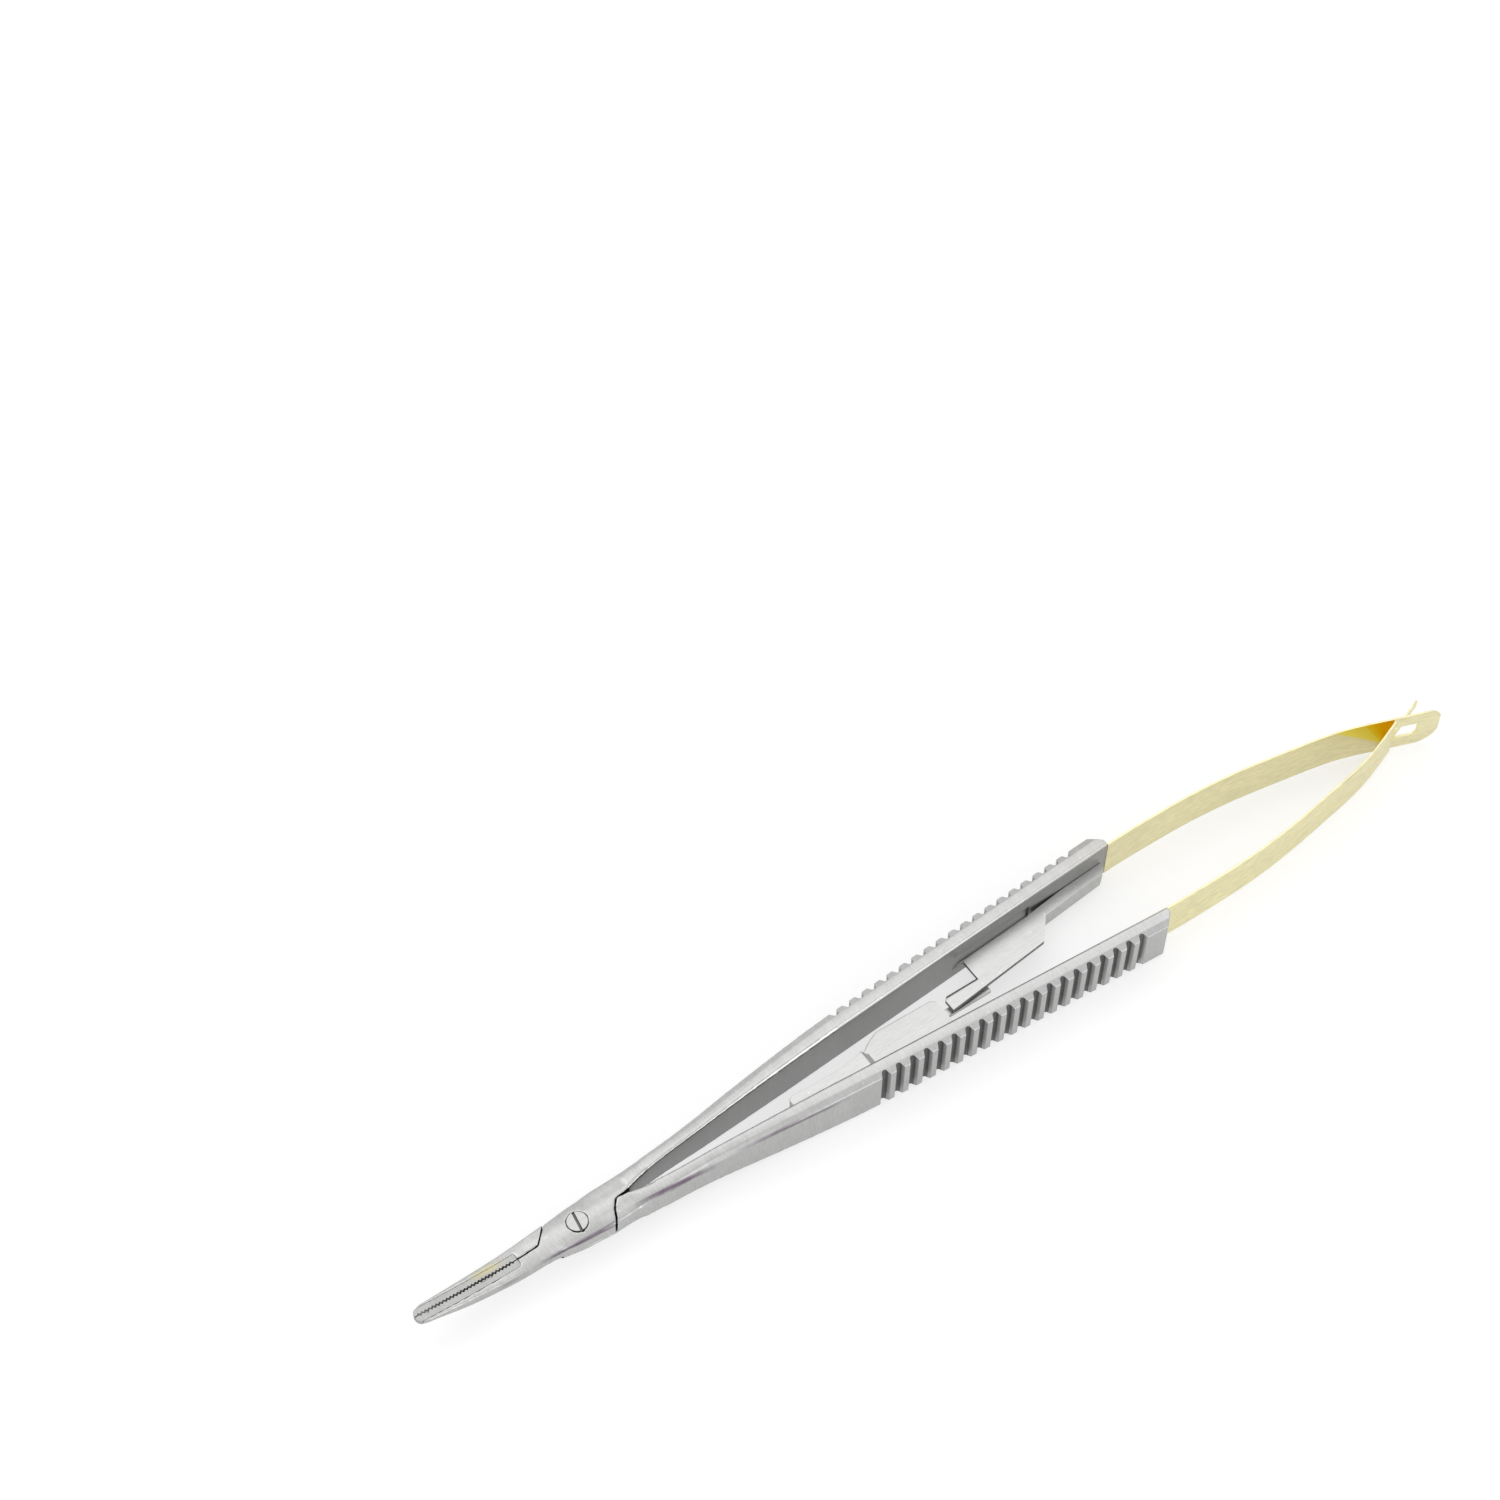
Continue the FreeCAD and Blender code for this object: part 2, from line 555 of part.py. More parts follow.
def main():
    os.makedirs("parts", exist_ok=True)
    pieces = {
        "upper_lap_arm": upper_lap_arm(), "lower_lap_arm": lower_lap_arm(), "pivot_screw": pivot_screw(),
        "rear_jaw_insert": jaw_insert(1), "front_jaw_insert": jaw_insert(-1),
        "rear_spring": rear_spring(), "front_spring": front_spring(),
        "front_catch": front_catch(), "rear_catch": rear_catch()}
    for name, shape in pieces.items():
        solid = place(shape)
        print(name, "valid", solid.isValid(), "solids", len(solid.Solids), "volume", round(solid.Volume, 2))
        solid.exportStep("parts/" + name + ".step")


main()
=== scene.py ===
import json
import math

import bmesh
import bpy
from mathutils import Matrix, Vector


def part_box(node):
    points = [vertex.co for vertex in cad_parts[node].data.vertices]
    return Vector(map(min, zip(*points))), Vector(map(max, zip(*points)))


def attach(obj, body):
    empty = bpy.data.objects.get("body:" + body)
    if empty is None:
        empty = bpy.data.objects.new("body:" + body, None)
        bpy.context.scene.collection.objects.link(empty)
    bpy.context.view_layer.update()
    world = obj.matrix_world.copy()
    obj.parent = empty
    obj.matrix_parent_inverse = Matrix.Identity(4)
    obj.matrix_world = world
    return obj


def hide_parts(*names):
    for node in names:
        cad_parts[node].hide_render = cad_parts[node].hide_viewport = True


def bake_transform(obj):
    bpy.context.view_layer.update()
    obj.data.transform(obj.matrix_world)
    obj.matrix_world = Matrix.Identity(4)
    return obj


bl_info = {
    "name": "Micro needle holder",
    "version": (1, 0, 0),
    "blender": (4, 5, 0),
    "location": "View3D > Sidebar > Needle holder",
    "description": "Dresses the packed model of a spring-handle needle holder",
    "category": "Object",
}

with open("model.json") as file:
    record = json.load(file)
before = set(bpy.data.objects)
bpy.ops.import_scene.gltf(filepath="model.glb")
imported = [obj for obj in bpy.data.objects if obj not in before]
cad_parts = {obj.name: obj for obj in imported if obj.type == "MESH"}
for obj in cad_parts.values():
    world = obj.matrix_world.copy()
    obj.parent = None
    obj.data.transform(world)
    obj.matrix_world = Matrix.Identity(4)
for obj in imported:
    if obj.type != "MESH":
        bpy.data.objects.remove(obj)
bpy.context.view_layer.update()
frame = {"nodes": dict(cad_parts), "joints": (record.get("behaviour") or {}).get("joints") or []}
MM = 0.001
JOINTS = {joint["name"]: joint for joint in frame["joints"]}
PIVOT = Vector(JOINTS["pivot"]["pos_m"])
REAR_ROOT = Vector(JOINTS["rear_spring_bend"]["pos_m"])
FRONT_ROOT = Vector(JOINTS["front_spring_bend"]["pos_m"])


def tint(name, description, default):
    return bpy.props.FloatVectorProperty(
        name=name, description=description, subtype="COLOR", size=3, default=default)


def length(name, description, millimetres):
    return bpy.props.FloatProperty(
        name=name, description=description, default=millimetres * MM, unit="LENGTH")


class NeedleHolderFinish(bpy.types.PropertyGroup):
    steel: tint("Steel", "Colour of the satin arms", (0.59, 0.59, 0.585))
    catch: tint("Catches", "Colour of the bright catches", (0.63, 0.63, 0.62))
    insert: tint("Inserts", "Colour of the hard jaw inserts", (0.50, 0.50, 0.49))
    braze: tint("Braze", "Stain of the braze beside an insert", (0.62, 0.56, 0.30))
    # a dark purple-grey band painted along the near top edges of the joint and the near shank
    dark_edge_band: tint("Dark edge band", "Colour along the hand-ground edges of the joint", (0.19, 0.15, 0.19))
    heat: tint("Heat tint", "Colour of the handles' ends, where the springs were fixed", (0.36, 0.28, 0.19))
    gilt: tint("Springs", "Colour of the gold-coloured springs", (0.98, 0.91, 0.57))
    # painted reflection of one spring in the other, where they face each other
    amber: tint("Amber", "Colour of the springs where they face each other", (1.0, 0.74, 0.02))
    roughness: bpy.props.FloatProperty(
        name="Satin", description="Roughness of the satin steel", default=0.34,
        min=0.0, max=1.0, subtype="FACTOR")


class NeedleHolderSizes(bpy.types.PropertyGroup):
    edge_round: length("Edge round", "Width of the broken edges of the arms", 0.1)
    catch_round: length("Catch round", "Width of the rounded edges of the catches", 0.1)
    sheet_edge: length("Sheet edge", "Greatest height of a face that counts as an edge of sheet", 0.7)
    spring_round: length("Spring round", "Width of the rounded edges of the springs", 0.05)
    tooth_pitch: length("Tooth pitch", "Distance between the cross teeth of the inserts", 0.48)
    tooth_depth: length("Tooth depth", "Depth of the notches between the teeth", 0.19)


# materials

def nodes_of(material):
    material.use_nodes = True
    tree = material.node_tree
    return tree, tree.nodes, tree.links, tree.nodes["Principled BSDF"]


def new_group(name, inputs, outputs):
    group = bpy.data.node_groups.new(name, "ShaderNodeTree")
    for label, kind, default in inputs:
        socket = group.interface.new_socket(label, in_out="INPUT", socket_type=kind)
        socket.default_value = default
    for label, kind in outputs:
        group.interface.new_socket(label, in_out="OUTPUT", socket_type=kind)
    return group, group.nodes.new("NodeGroupInput"), group.nodes.new("NodeGroupOutput")


def make_brush_group():
    """Fine parallel marks: long along one direction and dense across it."""
    group, given, out = new_group(
        "Brush marks",
        [("Density", "NodeSocketVector", (1.0, 1.0, 1.0))],
        [("Height", "NodeSocketFloat"), ("Tone", "NodeSocketFloat")])
    place = group.nodes.new("ShaderNodeTexCoord")
    scale = group.nodes.new("ShaderNodeVectorMath")
    scale.operation = "MULTIPLY"
    fine = group.nodes.new("ShaderNodeTexNoise")
    fine.inputs["Scale"].default_value = 1.0
    fine.inputs["Detail"].default_value = 3.0
    broad = group.nodes.new("ShaderNodeTexNoise")
    broad.inputs["Scale"].default_value = 0.12
    broad.inputs["Detail"].default_value = 2.0
    group.links.new(place.outputs["Object"], scale.inputs[0])
    group.links.new(given.outputs["Density"], scale.inputs[1])
    group.links.new(scale.outputs[0], fine.inputs["Vector"])
    group.links.new(scale.outputs[0], broad.inputs["Vector"])
    group.links.new(fine.outputs["Fac"], out.inputs["Height"])
    group.links.new(broad.outputs["Fac"], out.inputs["Tone"])
    return group


def bump(tree, bsdf, height, distance, strength=1.0):
    node = tree.nodes.new("ShaderNodeBump")
    node.inputs["Distance"].default_value = distance
    node.inputs["Strength"].default_value = strength
    tree.links.new(height, node.inputs["Height"])
    tree.links.new(node.outputs["Normal"], bsdf.inputs["Normal"])
    return node


def ramp(tree, value, stops):
    node = tree.nodes.new("ShaderNodeValToRGB")
    elements = node.color_ramp.elements
    while len(elements) > 1:
        elements.remove(elements[0])
    elements[0].position, elements[0].color = stops[0][0], (*stops[0][1], 1.0)
    for position, colour in stops[1:]:
        element = elements.new(position)
        element.color = (*colour, 1.0)
    tree.links.new(value, node.inputs["Fac"])
    return node.outputs["Color"]


def shade(colour, factor):
    return tuple(min(1.0, channel * factor) for channel in colour)


def socket_or_value(tree, value, socket):
    if isinstance(value, (tuple, list)):
        socket.default_value = (*value, 1.0)
    else:
        tree.links.new(value, socket)


def blend_colour(tree, factor, first, second, mode="MIX"):
    node = tree.nodes.new("ShaderNodeMix")
    node.data_type = "RGBA"
    node.blend_type = mode
    if isinstance(factor, float):
        node.inputs[0].default_value = factor
    else:
        tree.links.new(factor, node.inputs[0])
    socket_or_value(tree, first, node.inputs[6])
    socket_or_value(tree, second, node.inputs[7])
    return node.outputs[2]


def make_zone_group():
    """1 inside a box given in object coordinates, fading to 0 at its sides, with a broken edge."""
    group, given, out = new_group(
        "Stain and shade zone",
        [("Middle", "NodeSocketVector", (0.0, 0.0, 0.0)), ("Half size", "NodeSocketVector", (1.0, 1.0, 1.0)),
         ("Turn", "NodeSocketFloat", 0.0), ("Softness", "NodeSocketFloat", 0.5),
         ("Unevenness", "NodeSocketFloat", 0.3)],
        [("Mask", "NodeSocketFloat")])
    nodes, links = group.nodes, group.links
    place = nodes.new("ShaderNodeTexCoord")
    offset = nodes.new("ShaderNodeVectorMath")
    offset.operation = "SUBTRACT"
    turn = nodes.new("ShaderNodeVectorRotate")
    turn.rotation_type = "Z_AXIS"
    share = nodes.new("ShaderNodeVectorMath")
    share.operation = "DIVIDE"
    size = nodes.new("ShaderNodeVectorMath")
    size.operation = "ABSOLUTE"
    split = nodes.new("ShaderNodeSeparateXYZ")
    wide = nodes.new("ShaderNodeMath")
    wide.operation = "MAXIMUM"
    widest = nodes.new("ShaderNodeMath")
    widest.operation = "MAXIMUM"
    cloud = nodes.new("ShaderNodeTexNoise")
    cloud.inputs["Scale"].default_value = 700.0
    cloud.inputs["Detail"].default_value = 3.0
    uneven = nodes.new("ShaderNodeMath")
    uneven.operation = "MULTIPLY_ADD"
    near = nodes.new("ShaderNodeMath")
    near.operation = "SUBTRACT"
    near.inputs[0].default_value = 1.0
    fade = nodes.new("ShaderNodeMapRange")
    fade.interpolation_type = "SMOOTHSTEP"
    fade.inputs["To Min"].default_value = 1.0
    fade.inputs["To Max"].default_value = 0.0
    links.new(place.outputs["Object"], offset.inputs[0])
    links.new(given.outputs["Middle"], offset.inputs[1])
    links.new(offset.outputs[0], turn.inputs["Vector"])
    links.new(given.outputs["Turn"], turn.inputs["Angle"])
    links.new(turn.outputs[0], share.inputs[0])
    links.new(given.outputs["Half size"], share.inputs[1])
    links.new(share.outputs[0], size.inputs[0])
    links.new(size.outputs[0], split.inputs[0])
    links.new(split.outputs["X"], wide.inputs[0])
    links.new(split.outputs["Y"], wide.inputs[1])
    links.new(wide.outputs[0], widest.inputs[0])
    links.new(split.outputs["Z"], widest.inputs[1])
    links.new(place.outputs["Object"], cloud.inputs["Vector"])
    links.new(cloud.outputs["Fac"], uneven.inputs[0])
    links.new(given.outputs["Unevenness"], uneven.inputs[1])
    links.new(widest.outputs[0], uneven.inputs[2])
    links.new(given.outputs["Softness"], near.inputs[1])
    links.new(uneven.outputs[0], fade.inputs["Value"])
    links.new(near.outputs[0], fade.inputs["From Min"])
    links.new(fade.outputs["Result"], out.inputs["Mask"])
    return group


def make_nick_group():
    """Sparse small nicks and pits in a ground surface."""
    group, given, out = new_group(
        "Nicks", [("Size", "NodeSocketFloat", 1500.0), ("Share", "NodeSocketFloat", 0.71)],
        [("Mask", "NodeSocketFloat")])
    nodes, links = group.nodes, group.links
    place = nodes.new("ShaderNodeTexCoord")
    cells = nodes.new("ShaderNodeTexNoise")
    cells.inputs["Detail"].default_value = 1.0
    edge = nodes.new("ShaderNodeMath")
    edge.operation = "GREATER_THAN"
    links.new(place.outputs["Object"], cells.inputs["Vector"])
    links.new(given.outputs["Size"], cells.inputs["Scale"])
    links.new(cells.outputs["Fac"], edge.inputs[0])
    links.new(given.outputs["Share"], edge.inputs[1])
    links.new(edge.outputs[0], out.inputs["Mask"])
    return group


def make_line_group():
    """1 beyond a line given by a place on it and the direction that points beyond it."""
    group, given, out = new_group(
        "Beyond a line",
        [("Place", "NodeSocketVector", (0.0, 0.0, 0.0)), ("Direction", "NodeSocketVector", (1.0, 0.0, 0.0)),
         ("Softness", "NodeSocketFloat", 0.0002)],
        [("Mask", "NodeSocketFloat")])
    nodes, links = group.nodes, group.links
    place = nodes.new("ShaderNodeTexCoord")
    offset = nodes.new("ShaderNodeVectorMath")
    offset.operation = "SUBTRACT"
    along = nodes.new("ShaderNodeVectorMath")
    along.operation = "DOT_PRODUCT"
    fade = nodes.new("ShaderNodeMapRange")
    fade.interpolation_type = "SMOOTHSTEP"
    links.new(place.outputs["Object"], offset.inputs[0])
    links.new(given.outputs["Place"], offset.inputs[1])
    links.new(offset.outputs[0], along.inputs[0])
    links.new(given.outputs["Direction"], along.inputs[1])
    links.new(along.outputs["Value"], fade.inputs["Value"])
    links.new(given.outputs["Softness"], fade.inputs["From Max"])
    links.new(fade.outputs["Result"], out.inputs["Mask"])
    return group


def beyond(tree, place, direction, softness):
    node = tree.nodes.new("ShaderNodeGroup")
    node.node_tree = bpy.data.node_groups["Beyond a line"]
    node.inputs["Place"].default_value = place
    node.inputs["Direction"].default_value = direction
    node.inputs["Softness"].default_value = softness * MM
    return node.outputs["Mask"]


def both(tree, first, second):
    node = tree.nodes.new("ShaderNodeMath")
    node.operation = "MULTIPLY"
    tree.links.new(first, node.inputs[0])
    tree.links.new(second, node.inputs[1])
    return node.outputs[0]


def zone_mask(tree, middle, half, softness=0.5, unevenness=0.3, turn=0.0):
    node = tree.nodes.new("ShaderNodeGroup")
    node.node_tree = bpy.data.node_groups["Stain and shade zone"]
    node.inputs["Middle"].default_value = middle
    node.inputs["Half size"].default_value = half
    node.inputs["Turn"].default_value = math.radians(turn)
    node.inputs["Softness"].default_value = softness
    node.inputs["Unevenness"].default_value = unevenness
    return node.outputs["Mask"]


def ground_metal(name, colour, roughness, density, stains_and_shades=(), relief=0.004, nicks=0.77, overlay=None):
    """Satin metal: brush marks, slow changes of tone, nicks, and real stains and painted shade as boxes of
    another colour.
    """
    material = bpy.data.materials.new(name)
    tree, nodes, links, bsdf = nodes_of(material)
    bsdf.inputs["Metallic"].default_value = 1.0
    marks = nodes.new("ShaderNodeGroup")
    marks.node_tree = bpy.data.node_groups["Brush marks"]
    marks.inputs["Density"].default_value = density
    tone = ramp(tree, marks.outputs["Tone"], [(0.3, shade(colour, 0.97)), (0.7, shade(colour, 1.03))])
    lines = ramp(tree, marks.outputs["Height"], [(0.3, (0.87, 0.87, 0.87)), (0.62, (1.0, 1.0, 1.0))])
    mixed = blend_colour(tree, 1.0, tone, lines, "MULTIPLY")
    for stain_and_shade, middle, half, *rest in stains_and_shades:
        mixed = blend_colour(tree, zone_mask(tree, middle, half, *rest), mixed, stain_and_shade)
    if overlay:
        mixed = overlay(tree, mixed)
    pits = nodes.new("ShaderNodeGroup")
    pits.node_tree = bpy.data.node_groups["Nicks"]
    pits.inputs["Share"].default_value = nicks
    mixed = blend_colour(tree, pits.outputs["Mask"], mixed, shade(colour, 1.12))
    links.new(mixed, bsdf.inputs["Base Color"])
    spread = nodes.new("ShaderNodeMapRange")
    spread.inputs["To Min"].default_value = roughness - 0.05
    spread.inputs["To Max"].default_value = roughness + 0.1
    links.new(marks.outputs["Height"], spread.inputs["Value"])
    links.new(spread.outputs["Result"], bsdf.inputs["Roughness"])
    bump(tree, bsdf, marks.outputs["Height"], relief * MM, 0.6)
    return material


def at(x, y, z):
    """A place given in millimetres from the pivot's axis and the middle plane."""
    return tuple(PIVOT + Vector((x, y, z)) * MM)


def mm(x, y, z):
    return (x * MM, y * MM, z * MM)


# meshes

def pick(piece):
    """Makes one piece the only one selected."""
    bpy.ops.object.select_all(action="DESELECT")
    bpy.context.view_layer.objects.active = piece
    piece.select_set(True)


def take_copy(node, name):
    """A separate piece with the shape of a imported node, its loose triangles joined up."""
    source = frame["nodes"][node]
    mesh = source.data.copy()
    piece = bpy.data.objects.new(name, mesh)
    bpy.context.scene.collection.objects.link(piece)
    pick(piece)
    bpy.ops.object.mode_set(mode="EDIT")
    bpy.ops.mesh.select_all(action="SELECT")
    bpy.ops.mesh.remove_doubles(threshold=0.002 * MM)
    bpy.ops.object.mode_set(mode="OBJECT")
    mesh.materials.clear()
    return piece


def join_flats(piece, angle=0.6):
    """The triangles of one flat face become one face again, so that only real edges are broken."""
    pick(piece)
    bpy.ops.object.mode_set(mode="EDIT")
    bpy.ops.mesh.select_mode(type="FACE")
    bpy.ops.mesh.select_all(action="SELECT")
    bpy.ops.mesh.dissolve_limited(angle_limit=math.radians(angle))
    bpy.ops.object.mode_set(mode="OBJECT")


def cut_across(piece, places):
    """Cuts through the whole piece at places along its length, so that it can follow a curve."""
    mesh = bmesh.new()
    mesh.from_mesh(piece.data)
    for place in places:
        parts = mesh.verts[:] + mesh.edges[:] + mesh.faces[:]
        bmesh.ops.bisect_plane(mesh, geom=parts, dist=1e-7,
                               plane_co=(place, 0.0, 0.0), plane_no=(1.0, 0.0, 0.0))
    bmesh.ops.remove_doubles(mesh, verts=mesh.verts[:], dist=0.01 * MM)
    mesh.to_mesh(piece.data)
    mesh.free()


def along(table, x):
    """The value at x of a table of (x, value) pairs, straight between them and held at its ends."""
    if x <= table[0][0]:
        return table[0][1]
    for (x0, v0), (x1, v1) in zip(table, table[1:]):
        if x <= x1:
            share = (x - x0) / (x1 - x0)
            return v0 + (v1 - v0) * share
    return table[-1][1]


def keep_part(piece, place, front):
    """Leaves the part before or behind a cut across the piece, closed by a flat face."""
    pick(piece)
    bpy.ops.object.mode_set(mode="EDIT")
    bpy.ops.mesh.select_all(action="SELECT")
    bpy.ops.mesh.bisect(plane_co=(place, 0.0, 0.0), plane_no=(1.0, 0.0, 0.0), use_fill=True,
                        clear_inner=not front, clear_outer=front)
    bpy.ops.object.mode_set(mode="OBJECT")


def even_mesh(piece, cell, rounds):
    """Rebuilds a piece from small even faces and takes the hardness off its edges."""
    piece.data.transform(Matrix.Scale(1.0 / MM, 4))
    bpy.context.view_layer.objects.active = piece
    grid = piece.modifiers.new("Even faces", "REMESH")
    grid.mode = "VOXEL"
    grid.voxel_size = cell
    bpy.ops.object.modifier_apply(modifier="Even faces")
    soft = piece.modifiers.new("Soft edges", "SMOOTH")
    soft.factor = 0.5
    soft.iterations = rounds
    bpy.ops.object.modifier_apply(modifier="Soft edges")
    piece.data.transform(Matrix.Scale(MM, 4))


def eased(value):
    value = min(1.0, max(0.0, value))
    return value * value * (3.0 - 2.0 * value)


def break_edges(piece, width, angle=38.0, segments=2, crisp=()):
    """Rounds the sharp edges, except beside faces in the slots listed as crisp, such as the painted shade of
    gaps and grooves, and where the mesh is too fine for it.
    """
    mesh = bmesh.new()
    mesh.from_mesh(piece.data)
    weight = mesh.edges.layers.float.new("bevel_weight_edge")
    mesh.normal_update()
    for edge in mesh.edges:
        sharp = len(edge.link_faces) == 2 and edge.calc_face_angle() > math.radians(angle)
        if not sharp or any(face.material_index in crisp for face in edge.link_faces):
            continue
        shortest = min(near.calc_length() for vertex in edge.verts for near in vertex.link_edges)
        if shortest > 1.2 * width:
            edge[weight] = 1.0
    mesh.to_mesh(piece.data)
    mesh.free()
    bpy.context.view_layer.objects.active = piece
    bevel = piece.modifiers.new("Edges", "BEVEL")
    bevel.width = width
    bevel.segments = segments
    bevel.limit_method = "WEIGHT"
    bevel.use_clamp_overlap = False
    bpy.ops.object.modifier_apply(modifier="Edges")


def smooth(piece, angle=28.0):
    pick(piece)
    bpy.ops.object.shade_smooth_by_angle(angle=math.radians(angle))
    even = piece.modifiers.new("Even shading", "WEIGHTED_NORMAL")
    even.keep_sharp = True
    bpy.ops.object.modifier_apply(modifier="Even shading")


class NH_OT_materials(bpy.types.Operator):
    """Makes the finishes and the painted shade that the pieces share"""
    bl_idname = "needle_holder.materials"
    bl_label = "Finishes"

    def execute(self, context):
        finish = context.scene.needle_holder_finish
        make_brush_group()
        make_zone_group()
        make_line_group()
        make_nick_group()
        steel = tuple(finish.steel)
        across = (7000.0, 1100.0, 900.0)
        dark_edge_band, braze, heat = tuple(finish.dark_edge_band), tuple(finish.braze), tuple(finish.heat)
        upper = [
            # a dark purple-grey band painted along the near edge of the joint
            (dark_edge_band, at(-1.0, -2.35, 0.95), mm(8.5, 0.4, 0.5), 0.7, 0.3, 2.5),
            # painted shade: a darker copy of the steel on the near side of the jaw, where it bends
            (shade(steel, 0.62), at(-11.0, -1.9, 0.4), mm(6.0, 0.5, 0.8), 0.9, 0.5, -6.0),
            (heat, at(83.0, 7.6, 0.0), mm(7.0, 2.4, 5.0), 0.8, 0.3)]
        lower = [
            (braze, at(-12.2, 1.1, 1.2), mm(4.0, 0.5, 1.0), 0.9, 0.5),
            # dark purple-grey bands painted along the near top edge of the shank
            (dark_edge_band, at(12.0, -2.7, 1.7), mm(8.0, 0.38, 0.8), 0.7, 0.3, 6.0),
            (dark_edge_band, at(28.0, -4.3, 2.5), mm(12.0, 0.3, 0.5), 0.9, 0.3, 6.0)]
        ground_metal("upper arm steel", steel, finish.roughness, across, upper)
        ground_metal("lower arm steel", steel, finish.roughness, across, lower)
        # darker copies of the steel as painted shade: in the grooves' bottoms and the screw's hole and slot,
        # lighter on the grooves' sides, on the faces that look at the other arm, and near black in the
        # joint's gaps and the jaws' seam
        ground_metal("groove shade", shade(steel, 0.34), 0.45, (900.0, 900.0, 4000.0))
        ground_metal("groove edge shade", shade(steel, 0.85), 0.4, (900.0, 900.0, 4000.0))
        ground_metal("inner face shade", shade(steel, 0.66), finish.roughness, across)
        ground_metal("gap shade", shade(steel, 0.06), 0.7, (900.0, 900.0, 900.0))
        ground_metal("screw steel", shade(steel, 0.98), 0.34, (900.0, 6000.0, 900.0))
        ground_metal("insert", tuple(finish.insert), 0.42, (7000.0, 900.0, 900.0),
                     [(braze, at(-12.2, 0.6, 1.2), mm(4.0, 0.6, 1.0), 0.9, 0.5)])
        ground_metal("catch steel", tuple(finish.catch), 0.33, (900.0, 5000.0, 900.0))
        # painted shade: a dark copy of the catch steel for the catches' upright sheet edges, which outlines
        # them
        ground_metal("catch edge shade", shade(finish.catch, 0.4), 0.4, (900.0, 900.0, 4000.0))
        gilt, amber = tuple(finish.gilt), tuple(finish.amber)
        rub = (shade(gilt, 0.75), at(118.0, -3.3, 2.9), mm(2.4, 3.0, 0.5), 0.8, 0.5)
        ground_metal("gilt", gilt, 0.36, (700.0, 700.0, 2500.0), [rub], 0.001, 0.8)

        def facing_reflection(tree, mixed):
            """Gold mirrored in gold: a yellow corner before the crossing and an amber one inside it."""
            before = beyond(tree, at(129.2, 0.0, 0.0), (-1.0, 0.0, 0.0), 0.1)
            above = beyond(tree, at(121.0, 0.0, 3.1), (0.555, 0.0, 0.832), 0.25)
            right = beyond(tree, at(125.2, 0.0, 3.2), (0.853, 0.0, 0.522), 0.12)
            mixed = blend_colour(tree, both(tree, before, above), mixed, (1.0, 0.86, 0.14))
            return blend_colour(tree, both(tree, before, right), mixed, amber)

        # painted reflection of the other spring, in yellow and amber corners
        ground_metal("gilt with painted reflection", shade(gilt, 0.97), 0.3, (700.0, 700.0, 2500.0), (), 0.001, 0.8,
                     facing_reflection)
        return {"FINISHED"}


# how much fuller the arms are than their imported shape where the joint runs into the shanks, in millimetres
WAIST = ((-3.0, 0.0), (-1.0, 0.1), (1.5, 0.22), (3.5, 0.55), (5.6, 0.68), (7.9, 0.67), (10.2, 0.38),
         (12.6, 0.22), (15.0, 0.1), (19.0, 0.0))
WAIST_FROM, WAIST_FADE = 0.9, 1.1       # where the filling starts beside the middle plane, and its fade
HEAD_END = 40.3                         # the arms in front of it are rebuilt from even faces
HEAD_OVERLAP = 0.2                      # how far they reach into the handle behind the cut
HEAD_CELL, HEAD_ROUNDS = 0.12, 4        # size of those faces, and rounds of softening
STEP_FROM, STEP_TO, STEP_ROUNDS = 7.2, 10.6, 25

# where the arms' finishes and painted shade change, in millimetres from the pivot's axis
HANDLE_FROM, HANDLE_TO = 40.6, 83.4     # the grooves
LAP_FROM, LAP_TO = -9.0, 7.6            # the laps' leaning steps
SEAM_FROM, SEAM_HALF = -8.0, 0.95       # the jaws' seam
HOLE_REACH = 1.5                        # the screw's hole
INNER_FROM = 5.0                        # the faces that look at the other arm
GROOVE_BOTTOM, GROOVE_SIDE = 0.45, 0.16     # depth below the land beside them
# slots of painted shade: near black in gaps and the seam, dark in groove bottoms and the hole, lighter on
# groove sides, darker on the inner faces
ARM_SLOTS = ("gap shade", "groove shade", "groove edge shade", "inner face shade")
GAP, GROOVE, GROOVE_EDGE, INNER = 1, 2, 3, 4


